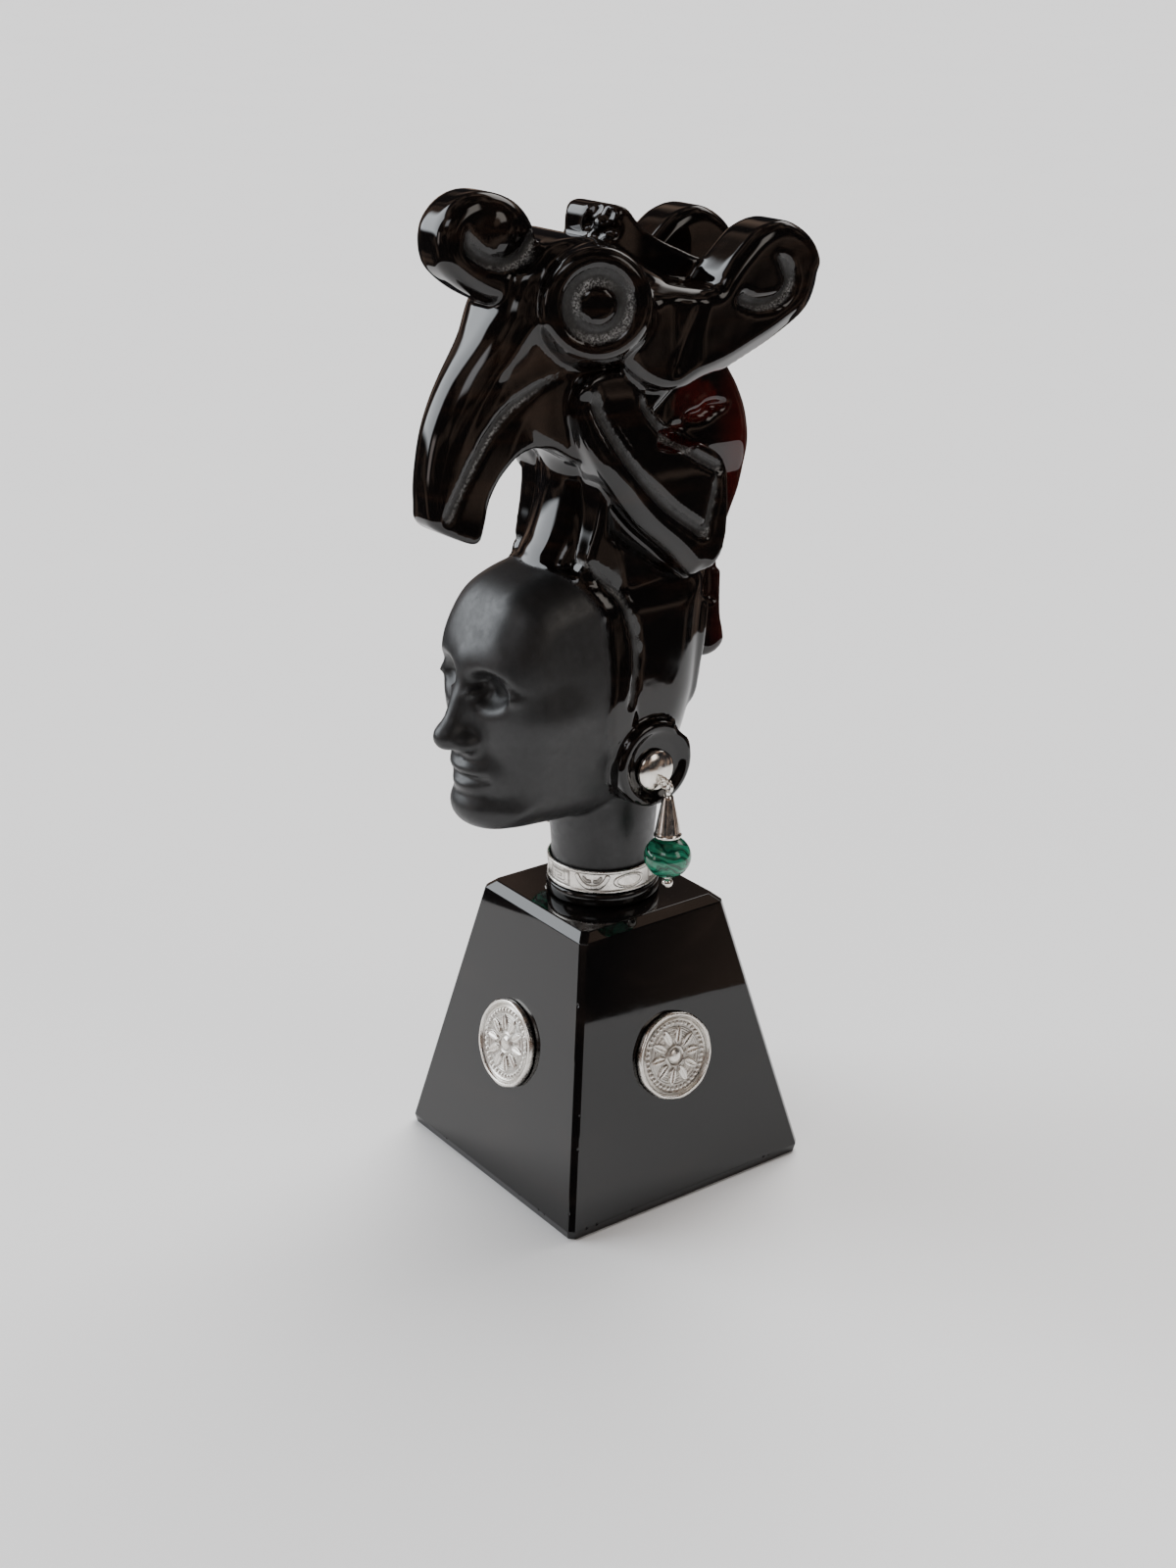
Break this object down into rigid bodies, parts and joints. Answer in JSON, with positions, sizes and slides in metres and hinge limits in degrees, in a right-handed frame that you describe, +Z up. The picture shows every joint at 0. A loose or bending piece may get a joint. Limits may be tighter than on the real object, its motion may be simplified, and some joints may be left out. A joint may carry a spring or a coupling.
{
  "type": "obsidian sculpture",
  "caption": "Carved obsidian head in a bird headdress with ear spools and drop earrings, on a truncated pyramid base with silver medallions.",
  "frame": {"origin": "centre of the pedestal's underside, on the surface it stands on", "axes": "+Z up, the figure faces -Y, +X is the figure's left side, which carries the side medallion"},
  "size_m": [0.06, 0.0808, 0.2022],
  "materials": {
    "obsidian": "polished, with ground matte face, neck and grooves",
    "pedestal_stone": "polished",
    "ring_stone": "polished",
    "silver": "polished silver with dark tarnish in the hollows",
    "malachite": "polished, banded green"
  },
  "bodies": {
    "root": {"sculpture": "obsidian", "pedestal": "pedestal_stone", "neck_ring": "ring_stone", "neck_band": "silver", "medallion_side": "silver", "medallion_front": "silver", "ear_stud_near": "silver", "ear_pin_near": "silver", "ear_cone_near": "silver", "ear_bead_near": "malachite", "ear_stud_far": "silver", "ear_pin_far": "silver", "ear_cone_far": "silver", "ear_bead_far": "malachite"}
  },
  "joints": []
}
